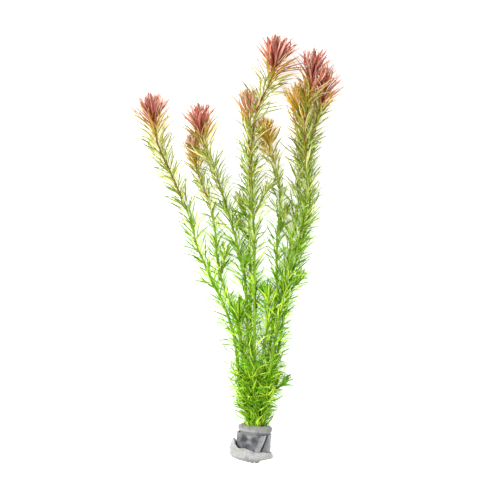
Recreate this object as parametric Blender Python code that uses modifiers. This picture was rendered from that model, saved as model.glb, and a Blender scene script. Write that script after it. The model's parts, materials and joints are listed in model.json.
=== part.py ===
"""A tied bunch of rotala, an aquarium stem plant, lying on its side as it does out of water.

Eleven cut stems and eight side shoots carry whorls of needle leaves. Their lower ends run through
a white foam wrap, and a lead strip wound once round the foam ties and weights the bunch.

The frame: +Y runs from the weighted foot to the growing tips, +Z is up, and the origin is on the
surface that the bunch rests on, under the middle of the lead strip. Units are metres.
"""

import math
import random

import bmesh
import bpy
import numpy as np
from mathutils import Matrix, Vector

MM = 0.001

# The weighted foot.
FOOT_HEIGHT = 9.6 * MM
FOOT_TURN = math.radians(-5.0)
STRIP_WIDTH = 10.8 * MM
STRIP_THICKNESS = 1.0 * MM
STRIP_RADIUS = 9.5 * MM
STRIP_LAP_GAP = 0.25 * MM
STRIP_INNER_END = math.radians(-32.0)
STRIP_OUTER_END = math.radians(388.0)
STRIP_END_SLANT = math.radians(9.5)
STRIP_LAP_STARTS = math.radians(240.0)
STRIP_LAP_RISEN = math.radians(318.0)
STRIP_STEPS = 60

FOAM_HOLE_RADIUS = 4.6 * MM
FOAM_UPPER_END = 10.2 * MM
FOAM_LOWER_END = -11.4 * MM
FOAM_WAIST_RADIUS = 8.7 * MM
FOAM_COLLAR_RADIUS = 10.4 * MM
FOAM_SKIRT_RADIUS = 11.8 * MM
FOAM_STEPS = 28
SOFT_GAP = 0.3 * MM

# The plants. A shoot's size is given at its cut end and at its growing tip.
STEM_RADIUS = 0.85 * MM
SHOOT_RADIUS = 0.6 * MM
TIP_RADIUS = 0.34 * MM
WHORL_SPACING = 10.2 * MM
WHORL_HEIGHT = 1.1 * MM
TUFT_WHORLS = (2.4 * MM, 5.6 * MM, 10.0 * MM)
WHORL_TURN = math.radians(30.0)
NEEDLE_GAP = 0.16 * MM
BARE_ABOVE_FOAM = 2.6 * MM
SHOOT_BARE = 2.2 * MM
SHOOT_REACH = 5.0 * MM
SHOOT_LEAVES = 0.6
LEAF_SEED = 11
ROUTE_STEP = 0.5 * MM

# Leaf angle from the stem in degrees and leaf length, against the distance below the growing tip.
LEAF_ANGLES = ((0, 12), (4 * MM, 32), (10 * MM, 47), (60 * MM, 51), (140 * MM, 60), (210 * MM, 74))
LEAF_LENGTHS = (
    (0, 12 * MM),
    (5 * MM, 18 * MM),
    (12 * MM, 17 * MM),
    (25 * MM, 14.5 * MM),
    (60 * MM, 13 * MM),
    (140 * MM, 11 * MM),
    (220 * MM, 9.5 * MM),
)
SHORTENINGS = (1.0, 0.82, 0.66, 0.5)
SIDESTEPS = (0.0, 14.0, -14.0, 28.0, -28.0)

# Each stem sits in the foam's hole this far from its centre, in millimetres.
OUTER_SEAT = 3.4
INNER_SEAT = 1.2

# For each stem: its seat, the bearing of that seat in degrees, how far its young leaves reach past
# the growing point, its leaf scale, and its route above the foam, chosen by hand in millimetres.
STEMS = {
    "stem_1": (
        OUTER_SEAT, 180, 13, 1.05,
        [
            (-6.5, 25, 9), (-9.2, 38, 7.5), (-10.8, 55, 5.5), (-13.5, 68, 4.5), (-18.5, 82, 3.8),
            (-27.6, 101.4, 3.6), (-34.5, 118, 3.6), (-38.6, 134, 3.6), (-44.5, 148, 3.6),
            (-52, 165, 3.8), (-58.2, 179.4, 4.2), (-61.2, 197, 5),
        ],
    ),
    "stem_2": (
        OUTER_SEAT, 225, 9, 0.9,
        [
            (-3.8, 25, 6.3), (-5.5, 40, 5), (-7, 55, 4), (-11, 74, 3.6), (-16.2, 88, 3.6),
            (-20.5, 100, 3.6), (-22.3, 113, 3.6), (-23.6, 127, 3.6), (-26.5, 142, 3.6),
            (-31.5, 155, 3.6), (-35, 167, 3.8), (-36, 179, 4.2),
        ],
    ),
    "stem_3": (
        OUTER_SEAT, 135, 9.5, 0.95,
        [
            (-3.2, 25, 12), (-3.5, 40, 11), (-3.6, 55, 9.5), (-4, 72, 8), (-4.8, 90, 6),
            (-7.6, 107, 4.8), (-12, 125, 4.2), (-17.4, 143.4, 4.5), (-23.4, 161.4, 6),
            (-28.6, 173, 7.5), (-31.2, 184, 8.5), (-31.8, 191.5, 9),
        ],
    ),
    "stem_4": (
        OUTER_SEAT, 90, 10.5, 1.0,
        [
            (0.3, 25, 14), (0.3, 40, 14), (0.2, 55, 13), (0.3, 75, 11.5), (0.6, 93, 10),
            (0, 110, 9.2), (-0.2, 127, 8.8), (-1.2, 145, 8.6), (-1.8, 165, 8.6), (-1.2, 180, 8.8),
            (0.8, 194.5, 9), (3.8, 203, 9.2), (8.5, 213, 9), (11.6, 221, 8.5), (13.2, 231, 8),
        ],
    ),
    "stem_5": (
        OUTER_SEAT, 270, 8, 0.9,
        [
            (-0.5, 25, 5), (-1, 40, 4), (-1.5, 58, 3.6), (-2.2, 78, 3.6), (-2, 97, 3.6),
            (-2.8, 114, 3.6), (-2.9, 130, 3.6), (-2.4, 148, 3.6), (-2.8, 167, 3.6),
            (-3, 184, 3.8), (-3, 202, 4.4),
        ],
    ),
    "stem_6": (
        INNER_SEAT, -30, 10, 0.95,
        [
            (4.5, 22, 8.8), (6.2, 35, 8), (8.3, 48, 6.8), (10, 60, 5.8), (12.3, 76, 4.6),
            (13.6, 90, 3.8), (13.6, 108, 3.6), (14, 122, 3.6), (15.4, 136, 3.6),
            (15.5, 150, 3.6), (13.3, 163, 3.6), (9.8, 174.5, 3.8), (7.2, 185.5, 4.2),
        ],
    ),
    "stem_7": (
        OUTER_SEAT, 315, 8, 0.95,
        [
            (6, 22, 5.8), (8.8, 35, 4.6), (11.3, 48, 3.8), (13.2, 60, 3.6), (14.9, 76, 3.6),
            (16.8, 90, 3.6), (19.5, 104, 3.6), (22.8, 121, 3.6), (25.6, 135, 3.6),
            (27, 150, 3.6), (27.6, 166, 3.6), (28.4, 180, 3.8), (28.8, 192, 4.2), (28.2, 203.5, 5),
        ],
    ),
    "stem_8": (
        OUTER_SEAT, 45, 12.5, 1.05,
        [
            (5.5, 22, 12.2), (8, 35, 12), (10.3, 48, 11.3), (12.5, 60, 10.5), (15.2, 76, 9.4),
            (18.2, 90, 8.6), (22, 106, 8.2), (26.5, 121, 8), (30.2, 133, 8), (31.8, 147, 8.2),
            (31.5, 162, 8.4), (30.4, 180, 8.8), (31, 195, 9), (33.5, 209, 8.8), (36, 223, 8.2),
        ],
    ),
    "stem_9": (
        OUTER_SEAT, 0, 10, 1.0,
        [
            (7.4, 22, 9.2), (10.5, 35, 8.2), (13.4, 48, 7), (15.6, 60, 6), (18.2, 76, 4.8),
            (20.8, 90, 4), (24.6, 106, 3.6), (29, 120, 3.6), (32.5, 132, 3.6), (33.8, 146, 3.6),
            (33.2, 162, 3.6), (34, 180, 3.8), (38, 194.5, 4.4), (41.4, 206, 5), (42.6, 213.5, 5.2),
        ],
    ),
    "stem_10": (
        INNER_SEAT, 90, 6, 0.75,
        [
            (1.9, 22, 11.2), (3.3, 35, 11), (4.8, 48, 10.5), (6, 58, 10), (8, 68, 9.5),
            (9.2, 77, 9.3), (8, 84, 9.5), (7.2, 88, 10),
        ],
    ),
    "stem_11": (
        INNER_SEAT, 210, 6, 0.75,
        [
            (-2.2, 22, 9), (-4, 35, 8.6), (-6.5, 48, 8.4), (-8.2, 60, 8), (-8.8, 70, 7.6),
            (-8.6, 79, 7.5),
        ],
    ),
}

# Each side shoot's route from its fork with the stem it grows on, in millimetres.
SIDE_SHOOTS = {
    "side_shoot_1": [(-19.2, 100.8, 4.2), (-18.5, 105, 5), (-17.5, 110, 6), (-17, 113.5, 6.5)],
    "side_shoot_2": [(-3.8, 134.2, 4.2), (-5.5, 136.5, 5), (-7.4, 140, 5.5), (-8.4, 144, 6)],
    "side_shoot_3": [(-4.1, 123, 4.4), (-6.2, 126.5, 5.4), (-8.4, 131.5, 6.5)],
    "side_shoot_4": [(15.8, 126, 4.4), (17.5, 131, 5.2), (19.5, 137, 6)],
    "side_shoot_5": [
        (0.9, 137, 9.4), (3, 141, 9.8), (5.5, 146.5, 10), (8.2, 150.2, 9.6), (10.3, 151.4, 9),
    ],
    "side_shoot_6": [(-5.9, 99, 7), (-6, 103, 8.3), (-6.2, 107.5, 9.5)],
    "side_shoot_7": [(22.3, 90.8, 4.8), (25, 94, 5.5), (28, 97.5, 6)],
    "side_shoot_8": [(10.8, 29.5, 9.2), (14, 32.5, 9.5), (17.4, 34.4, 9.2)],
}

COLOURS = {
    "rotala green": ((0.16, 0.37, 0.03), 0.45, 0.0),
    "young green": ((0.27, 0.47, 0.05), 0.45, 0.0),
    "white foam": ((0.78, 0.78, 0.74), 0.9, 0.0),
    "lead": ((0.34, 0.34, 0.35), 0.5, 1.0),
}


def clear_scene():
    """Removes whatever the file opened with."""
    for thing in list(bpy.data.objects):
        bpy.data.objects.remove(thing, do_unlink=True)


def finish_of(name):
    """The Principled material of that name from COLOURS, made once."""
    made = bpy.data.materials.get(name)
    if made:
        return made
    colour, roughness, metallic = COLOURS[name]
    made = bpy.data.materials.new(name)
    made.use_nodes = True
    shader = made.node_tree.nodes["Principled BSDF"]
    shader.inputs["Base Color"].default_value = (*colour, 1.0)
    shader.inputs["Roughness"].default_value = roughness
    shader.inputs["Metallic"].default_value = metallic
    return made


def add_object(name, mesh, material, collection, smooth_below=None):
    """A new object in the bunch. Edges sharper than smooth_below, in degrees, stay sharp."""
    mesh.materials.clear()
    mesh.materials.append(finish_of(material))
    if smooth_below is not None:
        mesh.shade_smooth()
        mesh.set_sharp_from_angle(angle=math.radians(smooth_below))
    made = bpy.data.objects.new(name, mesh)
    collection.objects.link(made)
    return made


def between(value, stops):
    """The height at value of the straight lines that join the stops."""
    places, heights = zip(*stops)
    return float(np.interp(value, places, heights))


def eased(value, start, end):
    """0 before start, 1 after end, and a smooth rise between them."""
    share = min(1.0, max(0.0, (value - start) / (end - start)))
    return share * share * (3.0 - 2.0 * share)


def foot_point(sideways, along, height):
    """A place in the row frame, from one measured on the foot's own turned axis."""
    turned = Matrix.Rotation(FOOT_TURN, 3, "Z") @ Vector((sideways, along, 0.0))
    return Vector((turned.x, turned.y, height))


def smooth_route(knots):
    """Points every ROUTE_STEP along a Catmull-Rom curve through the knots."""
    ends = [2 * knots[0] - knots[1], *knots, 2 * knots[-1] - knots[-2]]
    points = [knots[0]]
    for before, start, end, after in zip(ends, ends[1:], ends[2:], ends[3:]):
        steps = max(2, round((end - start).length / ROUTE_STEP))
        for step in range(1, steps + 1):
            t = step / steps
            points.append(
                0.5
                * (
                    2 * start
                    + (end - before) * t
                    + (2 * before - 5 * start + 4 * end - after) * t**2
                    + (3 * start - before - 3 * end + after) * t**3
                )
            )
    return points


class Route:
    """A shoot's centreline, read by the distance from its cut end."""

    def __init__(self, knots):
        self.points = np.array([tuple(p) for p in smooth_route(knots)])
        steps = np.linalg.norm(np.diff(self.points, axis=0), axis=1)
        self.distances = np.concatenate([[0.0], np.cumsum(steps)])
        self.length = float(self.distances[-1])

    def point(self, distance):
        """The place that far from the cut end."""
        return Vector([float(np.interp(distance, self.distances, axis)) for axis in self.points.T])

    def direction(self, distance):
        """The unit direction of growth there."""
        ahead = self.point(min(distance + ROUTE_STEP, self.length))
        return (ahead - self.point(max(distance - ROUTE_STEP, 0.0))).normalized()


def closest_approach(start, end, starts, ends):
    """How near one segment comes to each of many, and how far along both, from 0 to 1."""
    along, others, apart = end - start, ends - starts, start - starts
    size, sizes = along @ along, np.sum(others * others, axis=1)
    dots, on_it, on_them = others @ along, apart @ along, np.sum(others * apart, axis=1)
    spread = np.maximum(size * sizes - dots**2, 1e-18)
    share = np.clip((dots * on_them - sizes * on_it) / spread, 0, 1)
    shares = np.clip((dots * share + on_them) / sizes, 0, 1)
    share = np.clip((dots * shares - on_it) / size, 0, 1)
    gaps = apart + share[:, None] * along - shares[:, None] * others
    return np.linalg.norm(gaps, axis=1), share, shares


class Thicket:
    """Every stem and needle placed so far, each a tapering rod, so that a new needle clears them."""

    def __init__(self):
        self.rods = []
        self.table = None

    def add(self, start, end, start_radius, end_radius, shoot, whorl):
        """Notes one rod. A whorl of None marks a length of the stem itself."""
        mark = -1 if whorl is None else whorl
        self.rods.append((*start, *end, start_radius, end_radius, shoot, mark))
        self.table = None

    def add_stem(self, route, radius_at, shoot):
        """Notes a whole stem, in short lengths."""
        count = max(2, round(route.length / (3 * MM)))
        for n in range(count):
            low, high = route.length * n / count, route.length * (n + 1) / count
            radii = radius_at(low), radius_at(high)
            self.add(route.point(low), route.point(high), *radii, shoot, None)

    def is_clear(self, start, end, radius, shoot, whorl):
        """Whether a needle from start, tapering to nothing at end, stays off the other rods."""
        if self.table is None:
            self.table = np.array(self.rods)
        rods = self.table
        own = (rods[:, 8] == shoot) & ((rods[:, 9] == whorl) | (rods[:, 9] == -1))
        near, share, shares = closest_approach(
            np.array(start), np.array(end), rods[:, 0:3], rods[:, 3:6]
        )
        thickness = radius * (1 - share) + rods[:, 6] + (rods[:, 7] - rods[:, 6]) * shares
        at_its_own_foot = own & (share < 0.3)
        return bool(np.all((near > thickness + NEEDLE_GAP) | at_its_own_foot))


def off_the_surface(start, direction, length):
    """The direction, splayed so that a needle of that length lies on the surface, not under it."""
    lowest = -start.z / length
    if direction.z >= lowest:
        return direction
    flat = Vector((direction.x, direction.y, 0.0)).normalized()
    flat *= math.sqrt(max(0.0, 1.0 - lowest * lowest))
    return Vector((flat.x, flat.y, lowest))


class Shoot:
    """One stem or side shoot: its route, its taper and the places where its leaves grow."""

    def __init__(self, name, knots, radius, straight, bare, reach, leaf_scale, material):
        self.name = name
        self.route = Route(knots)
        self.radius = radius
        self.straight = straight
        self.bare = bare
        self.reach = reach
        self.leaf_scale = leaf_scale
        self.material = material

    def radius_at(self, distance):
        """The stem's radius that far from its cut end."""
        return self.radius + (TIP_RADIUS - self.radius) * (distance / self.route.length) ** 1.5

    def whorls(self):
        """Distances from the cut end at which leaves grow: evenly below, then the tip's tuft."""
        tuft = [self.route.length - below for below in TUFT_WHORLS]
        tuft = sorted(place for place in tuft if place > self.bare)
        room = tuft[0] - self.bare
        count = round(room / WHORL_SPACING)
        return [self.bare + room * n / count for n in range(count)] + tuft

    def crown(self):
        """The growing point, and where the young leaves closed over it end."""
        point = self.route.point(self.route.length)
        aim = off_the_surface(point, self.route.direction(self.route.length), self.reach)
        return point, point + aim * self.reach

    def tube(self):
        """A six-sided tube along the route, with a narrow band of faces at each whorl."""
        rings = [(0.0, 0), (self.straight, 0)]
        for number, place in enumerate(self.whorls()):
            rings += [(place - WHORL_HEIGHT / 2, number), (place + WHORL_HEIGHT / 2, number)]
        rings.append((self.route.length, number))
        curve = bpy.data.curves.new(self.name, "CURVE")
        curve.dimensions = "3D"
        curve.bevel_depth = self.radius
        curve.bevel_resolution = 1
        curve.use_fill_caps = True
        spline = curve.splines.new("POLY")
        spline.points.add(len(rings) - 1)
        for point, (distance, turns) in zip(spline.points, rings):
            point.co = (*self.route.point(distance), 1.0)
            point.radius = self.radius_at(distance) / self.radius
            point.tilt = WHORL_TURN * turns
        guide = bpy.data.objects.new(self.name + "_guide", curve)
        bpy.context.scene.collection.objects.link(guide)
        graph = bpy.context.evaluated_depsgraph_get()
        mesh = bpy.data.meshes.new_from_object(guide.evaluated_get(graph))
        bpy.data.objects.remove(guide, do_unlink=True)
        return mesh

    def bands(self, shape):
        """The tube's faces that leaves grow from, a list for each whorl."""
        places = self.whorls()
        centres = [self.route.point(place) for place in places]
        found = [[] for place in places]
        for face in shape.faces:
            middle = face.calc_center_median()
            whorl = min(range(len(places)), key=lambda n: (centres[n] - middle).length)
            offset = (middle - centres[whorl]).dot(self.route.direction(places[whorl]))
            if len(face.verts) == 4 and abs(offset) < 0.2 * WHORL_HEIGHT:
                found[whorl].append(face)
        return list(zip(places, found))

    def needle_tip(self, face, place, thicket, mark, dice):
        """Where the leaf that grows from this face ends, or None where there is no room for it."""
        start = face.calc_center_median()
        forward = self.route.direction(place)
        outward = (face.normal - face.normal.dot(forward) * forward).normalized()
        below_tip = self.route.length - place
        angle = between(below_tip, LEAF_ANGLES) + dice.uniform(-6, 6)
        length = between(below_tip, LEAF_LENGTHS) * self.leaf_scale * dice.uniform(0.88, 1.08)
        for shortening in SHORTENINGS:
            for sidestep in SIDESTEPS:
                turned = Matrix.Rotation(math.radians(sidestep), 3, forward) @ outward
                lean = math.radians(angle + abs(sidestep) / 4)
                reach = length * shortening
                aim = math.cos(lean) * forward + math.sin(lean) * turned
                tip = start + off_the_surface(start, aim, reach) * reach
                if thicket.is_clear(start, tip, WHORL_HEIGHT / 2, *mark):
                    return tip
        return None

    def grow(self, number, thicket, dice):
        """The shoot's mesh: each leaf is drawn out of the tube's own faces, so all is one solid."""
        mesh = self.tube()
        shape = bmesh.new()
        shape.from_mesh(mesh)
        bmesh.ops.remove_doubles(shape, verts=shape.verts, dist=0.02 * MM)
        growing_point, crown_tip = self.crown()
        cap = [
            face
            for face in shape.faces
            if (face.calc_center_median() - growing_point).length < 2 * TIP_RADIUS
        ]
        cap = bmesh.ops.dissolve_faces(shape, faces=cap)["region"]
        bmesh.ops.poke(shape, faces=cap)["verts"][0].co = crown_tip
        for whorl, (place, faces) in enumerate(self.bands(shape)):
            for face in faces:
                start = face.calc_center_median()
                tip = self.needle_tip(face, place, thicket, (number, whorl), dice)
                if tip is not None:
                    thicket.add(start, tip, WHORL_HEIGHT / 2, 0.0, number, whorl)
                    bmesh.ops.poke(shape, faces=[face])["verts"][0].co = tip
        shape.to_mesh(mesh)
        shape.free()
        return mesh


def all_shoots(dice):
    """The stems and side shoots, from the tables of routes above."""
    shoots = []
    for name, (seat, bearing, reach, leaf_scale, knots) in STEMS.items():
        sideways = seat * MM * math.cos(math.radians(bearing))
        height = FOOT_HEIGHT + seat * MM * math.sin(math.radians(bearing))
        start = foot_point(sideways, FOAM_LOWER_END - dice.uniform(0.2, 1.2) * MM, height)
        leaving = foot_point(sideways, FOAM_UPPER_END + 0.6 * MM, height)
        route = [start, leaving] + [Vector(knot) * MM for knot in knots]
        inside = (leaving - start).length
        bare = inside + BARE_ABOVE_FOAM + dice.uniform(0, 0.8) * WHORL_SPACING
        sizes = STEM_RADIUS, inside, bare, reach * MM, leaf_scale
        shoots.append(Shoot(name, route, *sizes, "rotala green"))
    for name, knots in SIDE_SHOOTS.items():
        route = [Vector(knot) * MM for knot in knots]
        sizes = SHOOT_RADIUS, SHOOT_BARE / 2, SHOOT_BARE, SHOOT_REACH, SHOOT_LEAVES
        shoots.append(Shoot(name, route, *sizes, "young green"))
    return shoots


def build_shoots(collection):
    """All the stems and side shoots, with coarse whorls of leaves drawn out of each."""
    dice = random.Random(LEAF_SEED)
    thicket = Thicket()
    shoots = all_shoots(dice)
    for number, shoot in enumerate(shoots):
        thicket.add_stem(shoot.route, shoot.radius_at, number)
        thicket.add(*shoot.crown(), TIP_RADIUS, 0.0, number, None)
    for number, shoot in enumerate(shoots):
        add_object(shoot.name, shoot.grow(number, thicket, dice), shoot.material, collection)


def build_foam_wrap(collection):
    """The foam round the stems: a turned ring, cinched under the strip and pressed flat below."""
    half_strip = STRIP_WIDTH / 2 + SOFT_GAP
    outline = [
        (FOAM_HOLE_RADIUS, FOAM_UPPER_END - 0.4 * MM),
        (FOAM_COLLAR_RADIUS - 2.0 * MM, FOAM_UPPER_END),
        (FOAM_COLLAR_RADIUS - 0.4 * MM, FOAM_UPPER_END - 0.7 * MM),
        (FOAM_COLLAR_RADIUS, FOAM_UPPER_END - 2.0 * MM),
        (FOAM_COLLAR_RADIUS - 0.3 * MM, half_strip + 0.7 * MM),
        (FOAM_WAIST_RADIUS, half_strip),
        (FOAM_WAIST_RADIUS, 0.0),
        (FOAM_WAIST_RADIUS, -half_strip),
        (FOAM_COLLAR_RADIUS + 0.5 * MM, -half_strip - 0.8 * MM),
        (FOAM_SKIRT_RADIUS, -half_strip - 2.6 * MM),
        (FOAM_SKIRT_RADIUS - 0.9 * MM, FOAM_LOWER_END + 0.8 * MM),
        (FOAM_SKIRT_RADIUS - 3.2 * MM, FOAM_LOWER_END),
        (FOAM_HOLE_RADIUS, FOAM_LOWER_END + 0.3 * MM),
    ]
    profile = bpy.data.meshes.new("foam_wrap_profile")
    shape = bmesh.new()
    ring = [shape.verts.new((radius, 0.0, along)) for radius, along in outline]
    for first, second in zip(ring, ring[1:] + ring[:1]):
        shape.edges.new((first, second))
    shape.to_mesh(profile)
    shape.free()
    turned = bpy.data.objects.new("foam_wrap_profile", profile)
    bpy.context.scene.collection.objects.link(turned)
    screw = turned.modifiers.new("Turn", "SCREW")
    screw.steps = screw.render_steps = FOAM_STEPS
    screw.use_merge_vertices = True
    screw.merge_threshold = 0.05 * MM
    screw.use_normal_calculate = True
    graph = bpy.context.evaluated_depsgraph_get()
    mesh = bpy.data.meshes.new_from_object(turned.evaluated_get(graph))
    bpy.data.objects.remove(turned, do_unlink=True)
    shape = bmesh.new()
    shape.from_mesh(mesh)
    bmesh.ops.remove_doubles(shape, verts=shape.verts, dist=0.02 * MM)
    for vert in shape.verts:
        along = vert.co.z
        floor = STRIP_THICKNESS + SOFT_GAP if abs(along) < half_strip + 0.01 * MM else 0.0
        height = max(floor, FOOT_HEIGHT + vert.co.y)
        vert.co = foot_point(vert.co.x, along, height)
    bmesh.ops.recalc_face_normals(shape, faces=shape.faces)
    shape.to_mesh(mesh)
    shape.free()
    add_object("foam_wrap", mesh, "white foam", collection, smooth_below=40)


def strip_middle(turn):
    """The middle of the strip's thickness, that far round from the top: sideways and height."""
    lift = (STRIP_THICKNESS + STRIP_LAP_GAP) * eased(turn, STRIP_LAP_STARTS, STRIP_LAP_RISEN)
    radius = STRIP_RADIUS + lift
    height = FOOT_HEIGHT + radius * math.cos(turn)
    return radius * math.sin(turn), max(STRIP_THICKNESS / 2, height)


def build_lead_strip(collection):
    """The lead strip, wound round the foam once with its slanted end lapped over its start."""
    shape = bmesh.new()
    bmesh.ops.create_grid(shape, x_segments=STRIP_STEPS, y_segments=2, size=0.5)
    for vert in shape.verts:
        share, across = vert.co.x + 0.5, 2 * vert.co.y
        outer_end = STRIP_OUTER_END + STRIP_END_SLANT * across
        turn = STRIP_INNER_END + (outer_end - STRIP_INNER_END) * share
        sideways, height = strip_middle(turn)
        vert.co = foot_point(sideways, across * STRIP_WIDTH / 2, height)
    mesh = bpy.data.meshes.new("lead_strip")
    shape.to_mesh(mesh)
    shape.free()
    strip = add_object("lead_strip", mesh, "lead", collection, smooth_below=35)
    walls = strip.modifiers.new("Thickness", "SOLIDIFY")
    walls.thickness = STRIP_THICKNESS
    walls.offset = 0.0
    walls.use_even_offset = True
    walls.use_quality_normals = True


def main():
    """Builds the bunch in a collection of its own."""
    clear_scene()
    collection = bpy.data.collections.new("rotala_bunch")
    bpy.context.scene.collection.children.link(collection)
    build_foam_wrap(collection)
    build_lead_strip(collection)
    build_shoots(collection)


if __name__ == "__main__":
    main()
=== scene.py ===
"""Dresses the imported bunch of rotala: leaves, stalks, foam wrap, lead strip, studio and camera.

Everything is in metres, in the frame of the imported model: +Y runs from the weighted foot to the
growing tips, +Z is up, and the bunch lies on the floor at z = 0. The routes of the stems repeat
those of the part's source, because the needle leaves follow them.
"""

import json
import logging
import math
from collections.abc import Callable
from dataclasses import dataclass, field
from enum import Enum
from functools import partial

import bmesh
import bpy
from bpy.types import GeometryNodeTree, Material, Mesh, Node, NodeOutputs, NodeSocket, Object
from mathutils import Matrix, Vector, noise

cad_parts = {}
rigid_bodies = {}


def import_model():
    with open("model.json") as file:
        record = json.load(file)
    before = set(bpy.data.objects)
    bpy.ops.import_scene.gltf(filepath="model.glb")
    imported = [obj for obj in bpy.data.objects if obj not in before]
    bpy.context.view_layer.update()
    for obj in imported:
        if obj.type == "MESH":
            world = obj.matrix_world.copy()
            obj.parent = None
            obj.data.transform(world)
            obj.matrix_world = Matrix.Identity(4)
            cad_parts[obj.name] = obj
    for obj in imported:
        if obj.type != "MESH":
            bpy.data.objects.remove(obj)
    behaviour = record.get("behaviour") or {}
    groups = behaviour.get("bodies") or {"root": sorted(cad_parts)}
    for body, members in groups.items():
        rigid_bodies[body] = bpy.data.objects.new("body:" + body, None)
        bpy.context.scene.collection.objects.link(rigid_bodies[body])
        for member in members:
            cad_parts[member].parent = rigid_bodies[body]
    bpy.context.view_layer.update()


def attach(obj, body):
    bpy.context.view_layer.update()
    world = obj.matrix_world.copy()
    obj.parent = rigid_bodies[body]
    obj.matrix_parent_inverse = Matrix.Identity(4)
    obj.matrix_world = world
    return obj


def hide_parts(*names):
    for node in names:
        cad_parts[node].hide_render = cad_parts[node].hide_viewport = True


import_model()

LOG = logging.getLogger("rotala")

MM = 0.001
BODY = "root"

# The weighted foot's axis, as in the part's source.
FOOT_HEIGHT = 9.6 * MM
FOOT_TURN = math.radians(-5.0)
FOAM_UPPER_END = 10.2 * MM
FOAM_LOWER_END = -11.4 * MM
STRIP_WIDTH = 10.8 * MM

# How far from the foot's axis a stem sits in the foam's hole, in millimetres.
OUTER_SEAT = 3.4
INNER_SEAT = 1.2

# The photograph's frame: one pixel is 0.6 mm, and the foot's middle is at this pixel.
PHOTO_SIZE = 500
PIXEL = 0.6 * MM
FOOT_PIXEL = (254.0, 441.0)

# The kinds of node that are used most.
BUMP = "ShaderNodeBump"
COMBINE = "ShaderNodeCombineXYZ"
MIX = "ShaderNodeMix"
NOISE = "ShaderNodeTexNoise"
RAMP = "ShaderNodeValToRGB"
RANDOM = "FunctionNodeRandomValue"
RANGE = "ShaderNodeMapRange"
SEPARATE = "ShaderNodeSeparateXYZ"
STORE = "GeometryNodeStoreNamedAttribute"
TURN = "ShaderNodeVectorRotate"
VECTOR = "ShaderNodeVectorMath"

Adder = Callable[..., Node]
Stops = tuple[tuple[float, str], ...]


class Blush(Enum):
    """How far the growing tip of a shoot has coloured in strong light."""

    RED = 1.0
    PINK = 0.70
    ORANGE = 0.46
    OLIVE = 0.40
    GREEN = 0.06


class LeafForm(Enum):
    """The bends a needle leaf grows with: its bow off its face, and its sway in leaf widths."""

    STRAIGHT = (0.02, 0.2)
    ARCHED = (0.10, -0.7)
    DROOPED = (0.15, 0.8)
    SWAYED = (0.06, 1.5)
    CUPPED = (-0.08, -0.8)
    HOOKED = (0.18, -2.6)
    CURLED = (-0.2, 2.2)


def linear(hex_colour: str) -> tuple[float, float, float, float]:
    """Turns an sRGB hex colour into the linear colour that a shader works in.

    Args:
        hex_colour: six hex digits, such as "7FB428".

    Returns:
        Red, green and blue as linear light, and an alpha of 1.
    """
    light = []
    for start in (0, 2, 4):
        share = int(hex_colour[start : start + 2], 16) / 255
        light.append(share / 12.92 if share <= 0.04045 else ((share + 0.055) / 1.055) ** 2.4)
    return (*light, 1.0)


def connect(node: Node, inputs: dict) -> None:
    """Sets or links a node's inputs.

    Args:
        node: the node.
        inputs: what goes in, by a socket's name or its number among those in use. It is a
            value, a socket to link from, or a node, which stands for its first output in use.
    """
    used = [socket for socket in node.inputs if socket.enabled]
    by_name = {socket.name: socket for socket in reversed(used)}
    for key, value in inputs.items():
        target = used[key] if isinstance(key, int) else by_name[key]
        if isinstance(value, Node):
            value = next(socket for socket in value.outputs if socket.enabled)
        if isinstance(value, NodeSocket):
            node.id_data.links.new(value, target)
        else:
            target.default_value = value


def add_node(tree: bpy.types.NodeTree, kind: str, *inputs: object, **settings: object) -> Node:
    """Adds a node to a tree, with its settings and links.

    Args:
        tree: the shader or geometry tree.
        kind: the node's Blender type, or in capitals what a Math node works out.
        *inputs: what goes into its sockets in use, in their order, or in a dict by their names.
        **settings: the node's own properties.

    Returns:
        The new node.
    """
    if kind.isupper():
        kind, settings = "ShaderNodeMath", {"operation": kind}
    node = tree.nodes.new(kind)
    for name, value in settings.items():
        setattr(node, name, value)
    for number, value in enumerate(inputs):
        connect(node, value if isinstance(value, dict) else {number: value})
    return node


def set_stops(ramp_node: Node, stops: Stops) -> Node:
    """Sets a colour ramp's stops.

    Args:
        ramp_node: a Color Ramp node.
        stops: places on the ramp with their sRGB hex colours, lowest first.

    Returns:
        The same node.
    """
    ramp = ramp_node.color_ramp
    for number, (place, colour) in enumerate(stops):
        element = ramp.elements[number] if number < 2 else ramp.elements.new(place)
        element.position = place
        element.color = linear(colour)
    return ramp_node


def new_material(name: str, *attributes: str) -> tuple[Material, Node, Adder, list[NodeSocket]]:
    """Makes a Principled material that is still plain.

    Args:
        name: the material's common name.
        *attributes: the mesh attributes that it reads.

    Returns:
        The material, its Principled BSDF, add_node for its tree, and the sockets that give the
        place on the object and each attribute.
    """
    material = bpy.data.materials.new(name)
    material.use_nodes = True
    node = partial(add_node, material.node_tree)
    read = [node("ShaderNodeTexCoord").outputs["Object"]]
    for attribute in attributes:
        read.append(node("ShaderNodeAttribute", attribute_name=attribute).outputs["Fac"])
    return material, material.node_tree.nodes["Principled BSDF"], node, read


def foot_point(sideways: float, along: float, height: float) -> Vector:
    """Places a point that is measured on the foot's own turned axis.

    Args:
        sideways: distance to the right of the axis.
        along: distance from the strip's middle towards the tips.
        height: distance above the floor.

    Returns:
        The point in the row frame.
    """
    turned = Matrix.Rotation(FOOT_TURN, 3, "Z") @ Vector((sideways, along, 0.0))
    return Vector((turned.x, turned.y, height))


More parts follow.
